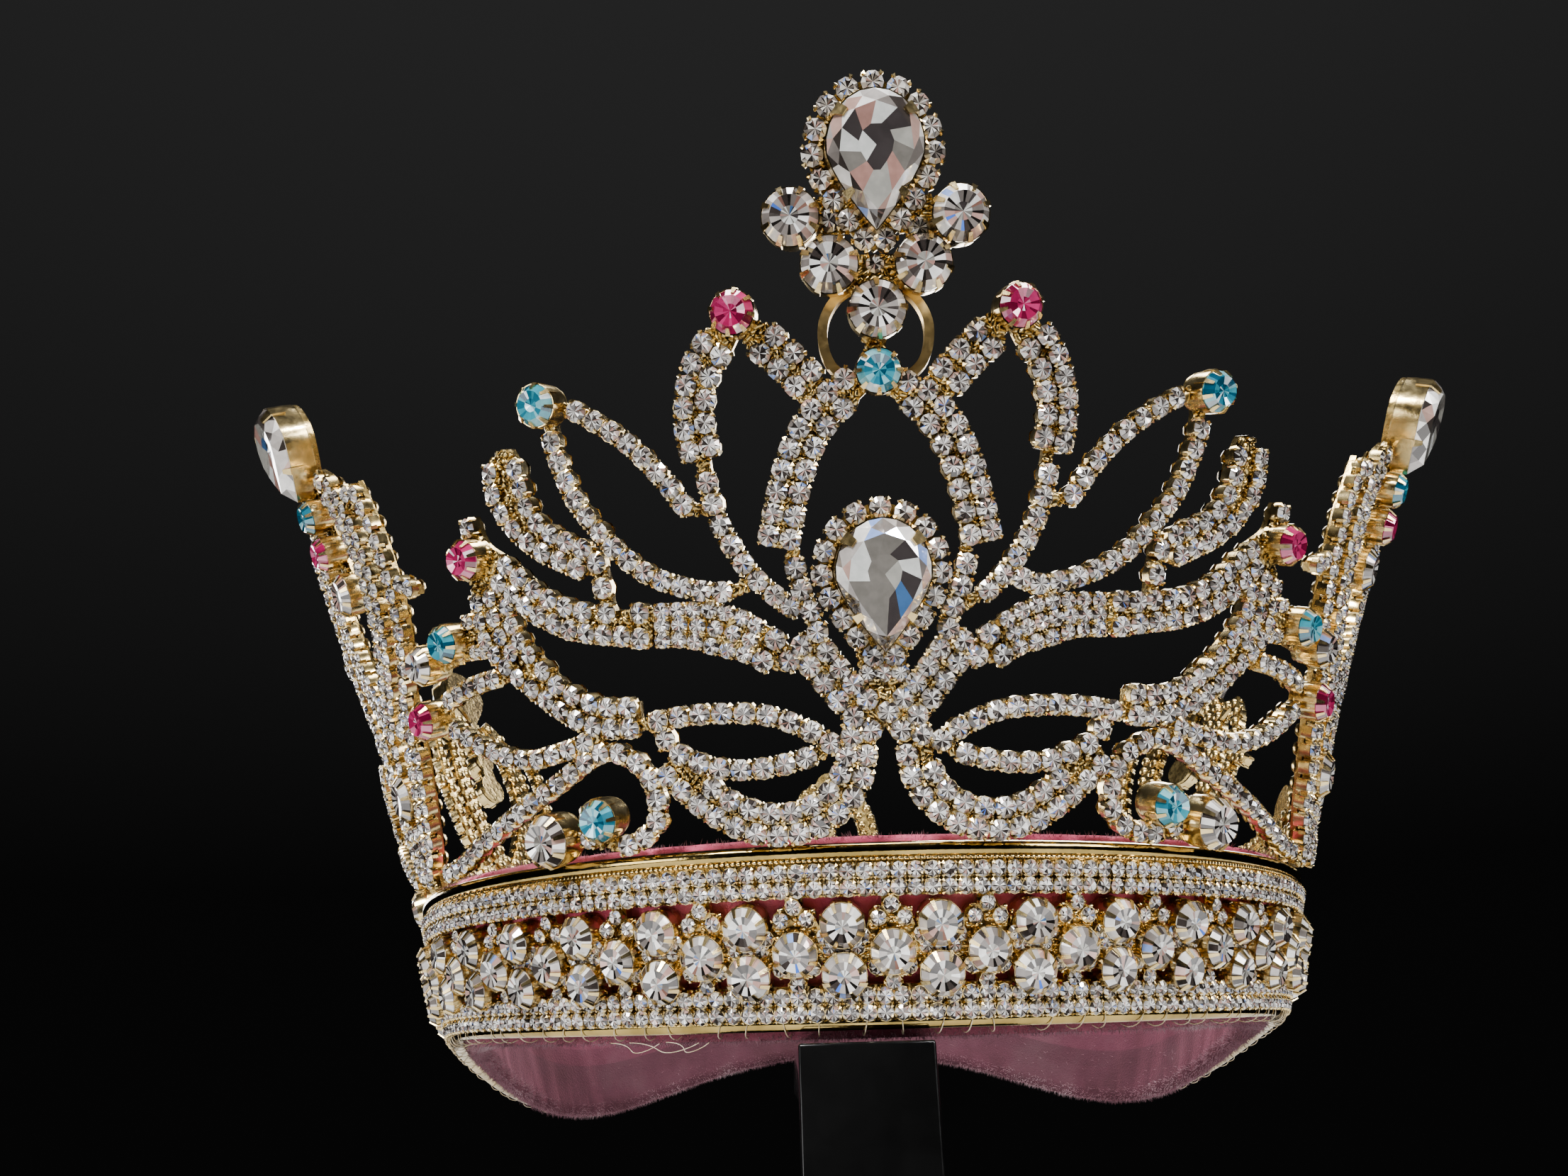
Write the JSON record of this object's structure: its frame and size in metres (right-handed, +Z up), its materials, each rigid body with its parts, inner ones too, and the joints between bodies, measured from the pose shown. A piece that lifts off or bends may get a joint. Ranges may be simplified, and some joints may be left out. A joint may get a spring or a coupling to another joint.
{
  "type": "pageant crown on a display stand",
  "caption": "Tall gold pageant crown of pierced peaks set with cut stones on a padded velvet-lined band, resting on a plain black stand.",
  "frame": {"origin": "centre of the underside of the stand's foot, on the crown's axis", "axes": "+Z up along the crown's axis; the crown's front faces -Y; +X to the viewer's right of the front"},
  "size_m": [0.216, 0.2338, 0.2217],
  "materials": {
    "gold": "polished light gold plating",
    "clear_stone": "foil-backed cut glass",
    "blue_stone": "foil-backed cut glass, sky blue",
    "pink_stone": "foil-backed cut glass, rose pink",
    "velvet": "dusty-pink velvet, padded",
    "black_stand": "gloss black"
  },
  "bodies": {
    "root": {"back_arch": "gold", "band": "gold", "display_stand": "black_stand", "front_blade_blue_left": "blue_stone", "front_blade_blue_right": "blue_stone", "front_centre": "clear_stone", "front_collar_low_round": "clear_stone", "front_collar_round_left": "clear_stone", "front_collar_round_right": "clear_stone", "front_curl_blue_left": "blue_stone", "front_curl_blue_right": "blue_stone", "front_finial": "clear_stone", "front_junction_blue": "blue_stone", "front_leaf_pink_left": "pink_stone", "front_leaf_pink_right": "pink_stone", "front_low_round_left": "clear_stone", "front_low_round_right": "clear_stone", "front_panel": "gold", "front_shoulder_round_left": "clear_stone", "front_shoulder_round_right": "clear_stone", "front_small_leaf_pink_left": "pink_stone", "front_small_leaf_pink_right": "pink_stone", "front_spray_blue_left": "blue_stone", "front_spray_blue_right": "blue_stone", "front_spray_round_left": "clear_stone", "front_spray_round_right": "clear_stone", "front_wing_pink_left": "pink_stone", "front_wing_pink_right": "pink_stone", "rear_left_blue": "blue_stone", "rear_left_finial": "clear_stone", "rear_left_pink": "pink_stone", "rear_link_left": "gold", "rear_link_right": "gold", "rear_peak_left": "gold", "rear_peak_right": "gold", "rear_right_blue": "blue_stone", "rear_right_finial": "clear_stone", "rear_right_pink": "pink_stone", "side_left_blue": "blue_stone", "side_left_finial": "clear_stone", "side_left_pink": "pink_stone", "side_link_left": "gold", "side_link_right": "gold", "side_peak_left": "gold", "side_peak_right": "gold", "side_right_blue": "blue_stone", "side_right_finial": "clear_stone", "side_right_pink": "pink_stone", "velvet_lining": "velvet"}
  },
  "joints": []
}
